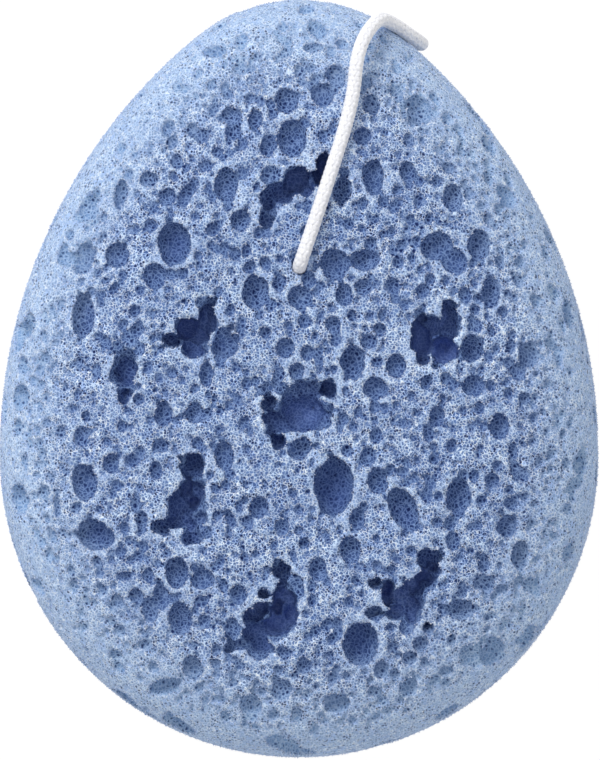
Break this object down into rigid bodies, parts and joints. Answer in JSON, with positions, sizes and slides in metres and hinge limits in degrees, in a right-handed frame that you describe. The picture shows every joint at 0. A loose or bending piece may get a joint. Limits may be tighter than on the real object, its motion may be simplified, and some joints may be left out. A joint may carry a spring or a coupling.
{
  "type": "bath sponge",
  "caption": "Egg-shaped bath sponge of coarse open-cell foam with rounded edges, and a white braided hanging loop threaded through it near its narrow end.",
  "frame": {"origin": "under the middle of the foam's box, on the surface that the sponge lies on", "axes": "+Y towards the narrow end, +Z out of the front face, where the cord comes out of its hole, +X to the right of the front face"},
  "size_m": [0.1106, 0.14, 0.0491],
  "materials": {
    "foam": "soft open-cell foam, light blue through and through, dull, with bright cell walls",
    "cord": "white braided polyester, satin"
  },
  "bodies": {
    "root": {"sponge_body": "foam", "hang_cord": "cord", "cord_knot": "cord"}
  },
  "joints": []
}
